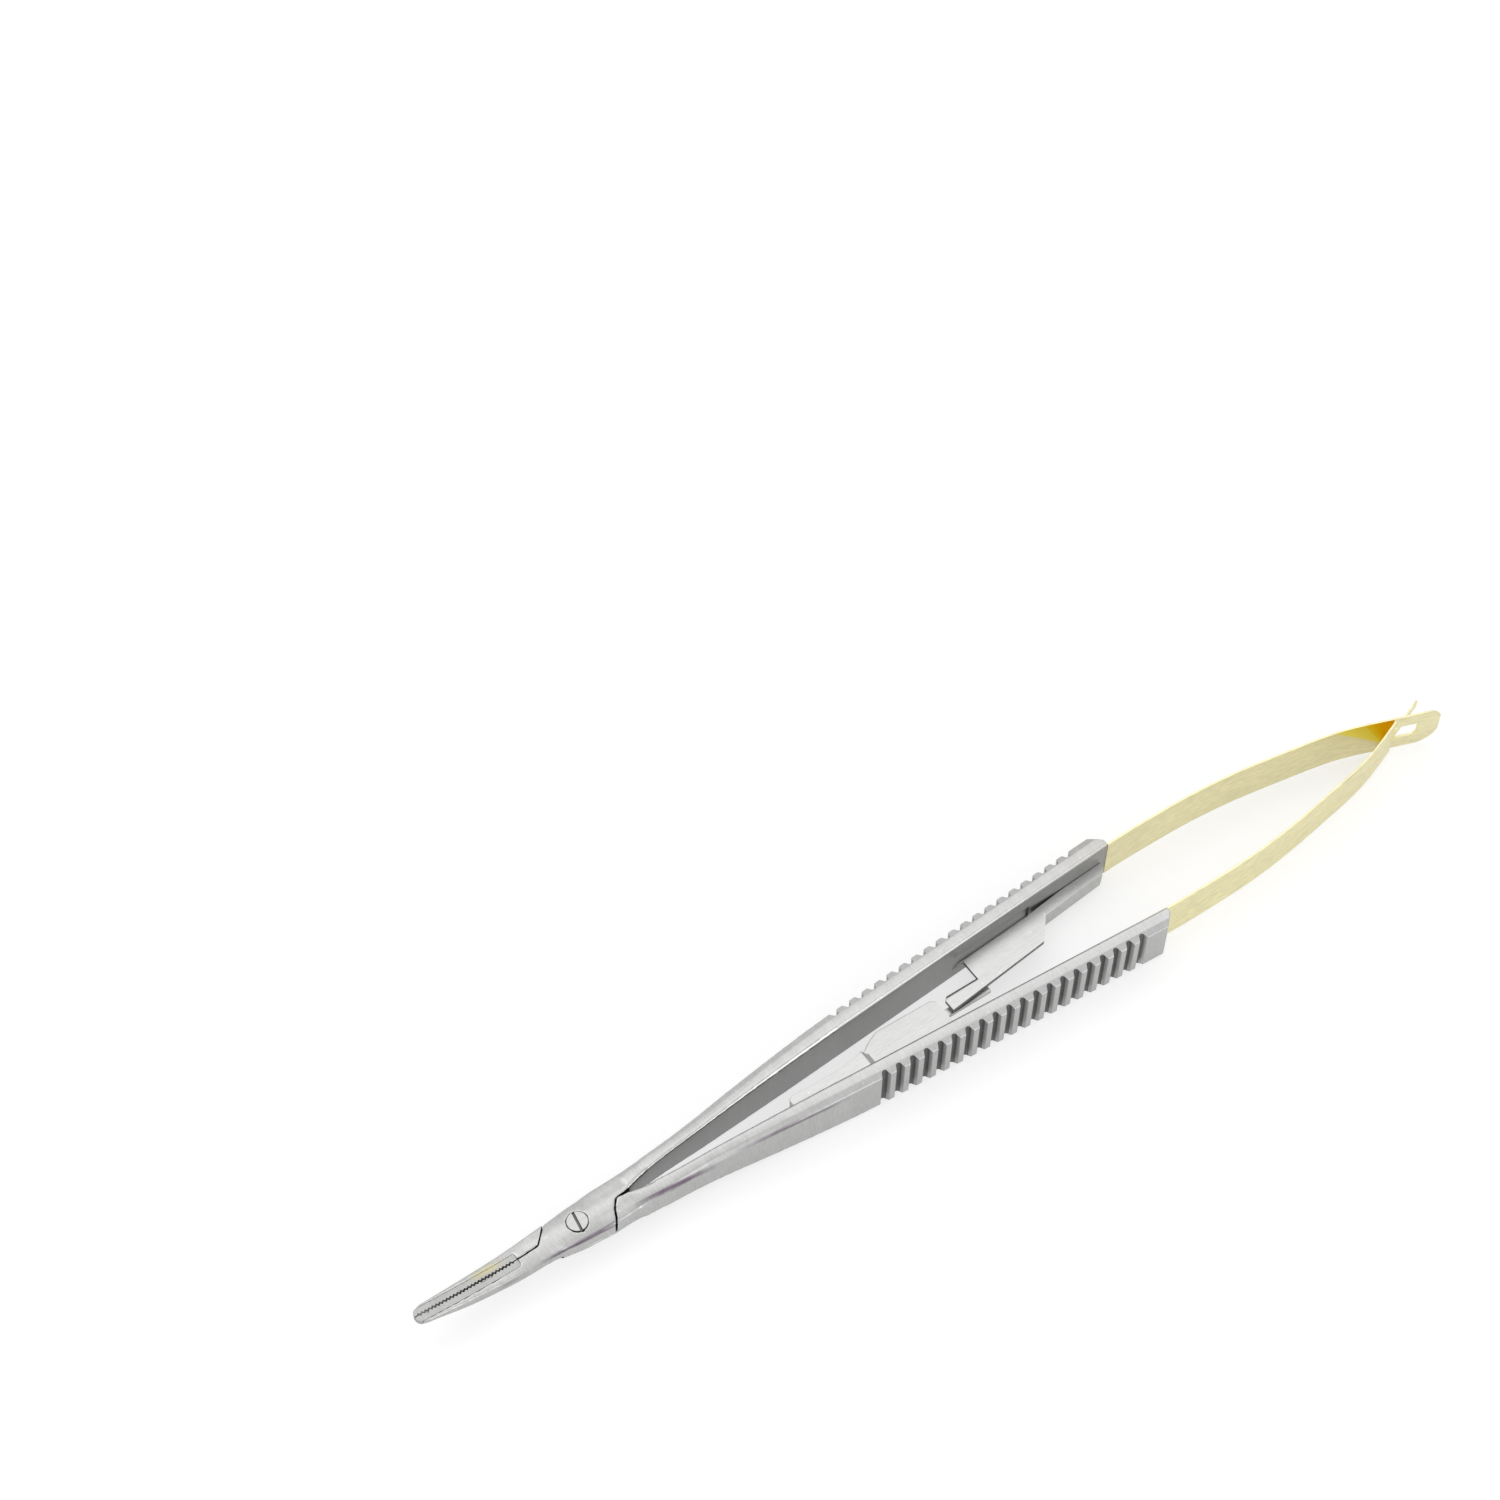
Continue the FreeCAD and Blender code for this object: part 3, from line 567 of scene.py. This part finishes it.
class NH_OT_arms(bpy.types.Operator):
    """The two arms, full at the waist behind the joint, with their edges broken and shade painted into their
    hollows
    """
    bl_idname = "needle_holder.arms"
    bl_label = "Arms"

    def execute(self, context):
        sizes = context.scene.needle_holder_sizes
        for node, body, finish in (("upper_lap_arm", "upper_arm", "upper arm steel"),
                                   ("lower_lap_arm", "lower_arm", "lower arm steel")):
            piece = take_copy(node, node + "_steel")
            head = take_copy(node, node + "_head")
            cut = PIVOT.x + HEAD_END * MM
            keep_part(head, cut + HEAD_OVERLAP * MM, True)
            even_mesh(head, HEAD_CELL, HEAD_ROUNDS)
            self.fill_waist(head)
            self.soften_step(head)
            keep_part(piece, cut, False)
            join_flats(piece)
            for part in (head, piece):
                for name in (finish, *ARM_SLOTS):
                    part.data.materials.append(bpy.data.materials[name])
                self.dress(part)
            break_edges(piece, sizes.edge_round, crisp=(GAP, GROOVE, GROOVE_EDGE))
            smooth(piece, 24.0)
            smooth(head, 50.0)
            bpy.ops.object.select_all(action="DESELECT")
            head.select_set(True)
            piece.select_set(True)
            bpy.context.view_layer.objects.active = piece
            bpy.ops.object.join()
            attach(piece, body)
            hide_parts(node)
        return {"FINISHED"}

    def fill_waist(self, piece):
        """Makes the arm fuller to the side where the joint runs into the shank."""
        for vertex in piece.data.vertices:
            x, y, z = (vertex.co - PIVOT) / MM
            fuller = along(WAIST, x)
            side = fuller * eased((abs(y) - WAIST_FROM) / WAIST_FADE)
            vertex.co.y += math.copysign(side * MM, y)

    def soften_step(self, piece):
        """Takes the small step out of the skin where the joint's block meets the shank."""
        mesh = bmesh.new()
        mesh.from_mesh(piece.data)
        chosen = [vertex for vertex in mesh.verts if STEP_FROM < (vertex.co.x - PIVOT.x) / MM < STEP_TO]
        for _ in range(STEP_ROUNDS):
            bmesh.ops.smooth_vert(mesh, verts=chosen, factor=0.5,
                                  use_axis_x=False, use_axis_y=True, use_axis_z=True)
        mesh.to_mesh(piece.data)
        mesh.free()

    def dress(self, piece):
        """Gives each face its finish or its painted shade by where it lies and which way it looks."""
        faces = [(face, (face.center - PIVOT) / MM, face.normal) for face in piece.data.polygons]
        lands = [(place.x, abs(place.y)) for _, place, normal in faces if HANDLE_FROM < place.x]
        for face, (x, y, z), normal in faces:
            upright = abs(normal.z) < 0.35
            if upright and math.hypot(x, y) < HOLE_REACH:
                face.material_index = GROOVE
            elif LAP_FROM < x < LAP_TO and upright and (abs(normal.x) > 0.5 or abs(y) < 0.5):
                face.material_index = GAP
            elif x < SEAM_FROM and abs(y) < SEAM_HALF and upright:
                face.material_index = GAP
            elif HANDLE_FROM < x < HANDLE_TO and abs(normal.z) < 0.6 and normal.y * y > -0.3 * abs(y):
                outer = max(land for place, land in lands if abs(place - x) < 1.4)
                if outer - abs(y) > GROOVE_BOTTOM:
                    face.material_index = GROOVE
                elif outer - abs(y) > GROOVE_SIDE:
                    face.material_index = GROOVE_EDGE
            elif x > INNER_FROM and abs(normal.z) < 0.5 and normal.y * y < -0.5 * abs(y):
                face.material_index = INNER


class NH_OT_screw(bpy.types.Operator):
    """The pivot screw, its head's rim chamfered, with shade painted into its slot and onto its upright sides
    so that a fine ring shows
    """
    bl_idname = "needle_holder.screw"
    bl_label = "Screw"

    def execute(self, context):
        piece = take_copy("pivot_screw", "pivot_screw_steel")
        join_flats(piece)
        piece.data.materials.append(bpy.data.materials["screw steel"])
        piece.data.materials.append(bpy.data.materials["groove shade"])
        top = max(vertex.co.z for vertex in piece.data.vertices)
        # the slot and the upright sides get painted shade
        for face in piece.data.polygons:
            if abs(face.normal.z) < 0.5 or face.center.z < top - 0.15 * MM:
                face.material_index = 1
        break_edges(piece, 0.05 * MM)
        smooth(piece, 35.0)
        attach(piece, "lower_arm")
        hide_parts("pivot_screw")
        return {"FINISHED"}


class NH_OT_inserts(bpy.types.Operator):
    """The hard strips along the seam, notched across so that fine teeth mesh with each other"""
    bl_idname = "needle_holder.inserts"
    bl_label = "Inserts"

    def execute(self, context):
        sizes = context.scene.needle_holder_sizes
        for node, body, side in (("rear_jaw_insert", "lower_arm", 1), ("front_jaw_insert", "upper_arm", -1)):
            piece = take_copy(node, node + "_toothed")
            low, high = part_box(node)
            comb = self.comb(low, high, side, sizes)
            cut = piece.modifiers.new("Teeth", "BOOLEAN")
            cut.operation = "DIFFERENCE"
            cut.solver = "EXACT"
            cut.object = comb
            pick(piece)
            bpy.ops.object.modifier_apply(modifier="Teeth")
            bpy.data.objects.remove(comb, do_unlink=True)
            join_flats(piece)
            break_edges(piece, 0.04 * MM, segments=1)
            smooth(piece, 25.0)
            piece.data.materials.append(bpy.data.materials["insert"])
            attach(piece, body)
            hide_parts(node)
        return {"FINISHED"}

    def comb(self, low, high, side, sizes):
        """A row of upright four-sided bars, one corner of each in the seam face."""
        bpy.ops.object.select_all(action="DESELECT")
        count = int((high[0] - low[0]) / sizes.tooth_pitch) - 2
        seam = low[1] if side > 0 else high[1]
        shift = 0.25 if side > 0 else 0.75
        start = low[0] + (1.0 + shift) * sizes.tooth_pitch
        bpy.ops.mesh.primitive_cylinder_add(
            vertices=4, radius=sizes.tooth_depth, depth=(high[2] - low[2]) * 1.5,
            location=(start, seam, (low[2] + high[2]) / 2))
        comb = bpy.context.object
        bpy.ops.object.transform_apply(location=True, rotation=True, scale=True)
        row = comb.modifiers.new("Row", "ARRAY")
        row.use_relative_offset = False
        row.use_constant_offset = True
        row.constant_offset_displace = (sizes.tooth_pitch, 0.0, 0.0)
        row.count = count
        bpy.ops.object.modifier_apply(modifier="Row")
        return comb


class NH_OT_catches(bpy.types.Operator):
    """Both halves of the lock, with the soft edges of bent sheet"""
    bl_idname = "needle_holder.catches"
    bl_label = "Catches"

    def execute(self, context):
        sizes = context.scene.needle_holder_sizes
        for node, body in (("front_catch", "lower_arm"), ("rear_catch", "upper_arm")):
            piece = take_copy(node, node + "_steel")
            join_flats(piece)
            piece.data.materials.append(bpy.data.materials["catch steel"])
            piece.data.materials.append(bpy.data.materials["catch edge shade"])
            # the upright edge faces of the sheet get painted shade
            for face in piece.data.polygons:
                heights = [piece.data.vertices[index].co.z for index in face.vertices]
                if abs(face.normal.z) < 0.3 and max(heights) - min(heights) < sizes.sheet_edge:
                    face.material_index = 1
            break_edges(piece, sizes.catch_round)
            smooth(piece, 30.0)
            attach(piece, body)
            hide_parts(node)
        return {"FINISHED"}


class NH_OT_springs(bpy.types.Operator):
    """The two leaf springs, cut across every millimetre of their length"""
    bl_idname = "needle_holder.springs"
    bl_label = "Springs"

    def execute(self, context):
        sizes = context.scene.needle_holder_sizes
        for node, arm, leaf, root, side in (("rear_spring", "upper_arm", "rear_leaf", REAR_ROOT, 1),
                                            ("front_spring", "lower_arm", "front_leaf", FRONT_ROOT, -1)):
            piece = take_copy(node, node + "_gilt")
            join_flats(piece)
            break_edges(piece, sizes.spring_round, 50.0)
            low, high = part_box(node)
            cuts = int((high.x - low.x) / MM)
            cut_across(piece, [low.x + step * MM for step in range(1, cuts)])
            smooth(piece, 30.0)
            piece.data.materials.append(bpy.data.materials["gilt"])
            piece.data.materials.append(bpy.data.materials["gilt with painted reflection"])
            self.dress_inside(piece, side)
            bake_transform(piece)
            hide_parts(node)
        return {"FINISHED"}

    def dress_inside(self, piece, side):
        """The broad face that looks at the other spring gets the finish with the painted reflection of that
        spring.
        """
        for face in piece.data.polygons:
            if -side * face.normal.y > 0.6:
                face.material_index = 1


FLOOR_TONE, FLOOR_GLOW = 0.42, 0.64     # of the floor itself, and what the camera sees on top of it
FLOOR_IN_METAL = 0.72                   # share of that glow that the metal mirrors
WORLD_ON_PIECES, WORLD_SEEN, WORLD_IN_METAL = 0.8, 1.0, 0.2
FOCAL, PICTURE, SENSOR = 3076.0, 1500.0, 36.0    # of the camera, in picture points and millimetres


class NH_OT_stage(bpy.types.Operator):
    """Pale floor, soft light and the camera at the photograph's viewing angle"""
    bl_idname = "needle_holder.stage"
    bl_label = "Stage"

    def execute(self, context):
        bpy.ops.object.select_all(action="DESELECT")
        bpy.ops.mesh.primitive_plane_add(size=3.0, location=(0.0, 0.0, 0.0))
        floor = context.object
        floor.name = "floor"
        floor.data.materials.append(self.floor_material())
        self.world(context.scene)
        self.lamp("key", Vector((-0.35, 0.6, 0.95)), 0.6, 1.3)
        self.lamp("overhead", Vector((0.32, 0.35, 0.85)), 0.7, 0.8)
        self.lamp("front", Vector((0.38, -0.88, 0.55)), 0.4, 1.6)
        self.camera(context)
        return {"FINISHED"}

    def seen_directly(self, tree, glossy_share):
        """1 for camera and transmission rays, a share for glossy ones, 0 for the light on the object."""
        path = tree.nodes.new("ShaderNodeLightPath")
        glossy = tree.nodes.new("ShaderNodeMath")
        glossy.operation = "MULTIPLY"
        glossy.inputs[1].default_value = glossy_share
        tree.links.new(path.outputs["Is Glossy Ray"], glossy.inputs[0])
        first = tree.nodes.new("ShaderNodeMath")
        first.operation = "MAXIMUM"
        tree.links.new(path.outputs["Is Camera Ray"], first.inputs[0])
        tree.links.new(path.outputs["Is Transmission Ray"], first.inputs[1])
        both = tree.nodes.new("ShaderNodeMath")
        both.operation = "MAXIMUM"
        tree.links.new(first.outputs[0], both.inputs[0])
        tree.links.new(glossy.outputs[0], both.inputs[1])
        return both.outputs[0]

    def floor_material(self):
        material = bpy.data.materials.new("pale floor")
        tree, nodes, links, bsdf = nodes_of(material)
        bsdf.inputs["Base Color"].default_value = (FLOOR_TONE, FLOOR_TONE, FLOOR_TONE, 1.0)
        bsdf.inputs["Roughness"].default_value = 0.9
        bsdf.inputs["Specular IOR Level"].default_value = 0.0
        bsdf.inputs["Emission Color"].default_value = (1.0, 1.0, 1.0, 1.0)
        lift = nodes.new("ShaderNodeMath")
        lift.operation = "MULTIPLY"
        lift.inputs[1].default_value = FLOOR_GLOW
        links.new(self.seen_directly(tree, FLOOR_IN_METAL), lift.inputs[0])
        links.new(lift.outputs[0], bsdf.inputs["Emission Strength"])
        return material

    def world(self, scene):
        world = bpy.data.worlds.new("studio")
        scene.world = world
        world.use_nodes = True
        tree = world.node_tree
        background = tree.nodes["Background"]
        background.inputs["Color"].default_value = (1.0, 1.0, 1.0, 1.0)
        level = tree.nodes.new("ShaderNodeMapRange")
        level.inputs["To Min"].default_value = WORLD_ON_PIECES
        level.inputs["To Max"].default_value = WORLD_SEEN
        tree.links.new(self.seen_directly(tree, WORLD_IN_METAL), level.inputs["Value"])
        tree.links.new(level.outputs["Result"], background.inputs["Strength"])

    def lamp(self, name, place, size, power):
        light = bpy.data.lights.new(name, "AREA")
        light.shape = "DISK"
        light.size = size
        light.energy = power
        lamp = bpy.data.objects.new(name, light)
        lamp.location = place
        lamp.rotation_euler = (-place).to_track_quat("-Z", "Y").to_euler()
        bpy.context.scene.collection.objects.link(lamp)

    def camera(self, context):
        azimuth, elevation, roll = math.radians(35.49), math.radians(53.08), math.radians(-0.72)
        eye = PIVOT + Vector((-84.80, -152.93, 325.87)) * MM
        look = Vector((math.sin(azimuth) * math.cos(elevation), math.cos(azimuth) * math.cos(elevation),
                       -math.sin(elevation)))
        right = Vector((math.cos(azimuth), -math.sin(azimuth), 0.0))
        down = look.cross(right)
        side = math.cos(roll) * right + math.sin(roll) * down
        low = -math.sin(roll) * right + math.cos(roll) * down
        data = bpy.data.cameras.new("camera")
        data.lens = FOCAL / PICTURE * SENSOR
        data.sensor_width = SENSOR
        data.clip_start = 0.01
        camera = bpy.data.objects.new("camera", data)
        turn = Matrix((side, -low, -look)).transposed().to_4x4()
        camera.matrix_world = Matrix.Translation(eye) @ turn
        context.scene.collection.objects.link(camera)
        context.scene.camera = camera
        context.scene.view_settings.view_transform = "Standard"


class NH_PT_panel(bpy.types.Panel):
    """Sizes, finishes and the steps of the needle holder"""
    bl_label = "Needle holder"
    bl_idname = "NH_PT_panel"
    bl_space_type = "VIEW_3D"
    bl_region_type = "UI"
    bl_category = "Needle holder"

    def draw(self, context):
        layout = self.layout
        for group in (context.scene.needle_holder_sizes, context.scene.needle_holder_finish):
            for key in group.bl_rna.properties.keys():
                if key not in ("rna_type", "name"):
                    layout.prop(group, key)
        for operator in STEPS:
            layout.operator(operator.bl_idname)


STEPS = (NH_OT_materials, NH_OT_arms, NH_OT_screw, NH_OT_inserts, NH_OT_catches, NH_OT_springs, NH_OT_stage)
CLASSES = (NeedleHolderFinish, NeedleHolderSizes, *STEPS, NH_PT_panel)


def register():
    for cls in CLASSES:
        bpy.utils.register_class(cls)
    bpy.types.Scene.needle_holder_finish = bpy.props.PointerProperty(type=NeedleHolderFinish)
    bpy.types.Scene.needle_holder_sizes = bpy.props.PointerProperty(type=NeedleHolderSizes)


def unregister():
    del bpy.types.Scene.needle_holder_sizes
    del bpy.types.Scene.needle_holder_finish
    for cls in reversed(CLASSES):
        bpy.utils.unregister_class(cls)


def main():
    register()
    bpy.ops.needle_holder.materials()
    bpy.ops.needle_holder.arms()
    bpy.ops.needle_holder.screw()
    bpy.ops.needle_holder.inserts()
    bpy.ops.needle_holder.catches()
    bpy.ops.needle_holder.springs()
    bpy.ops.needle_holder.stage()


if __name__ == "__main__":
    main()
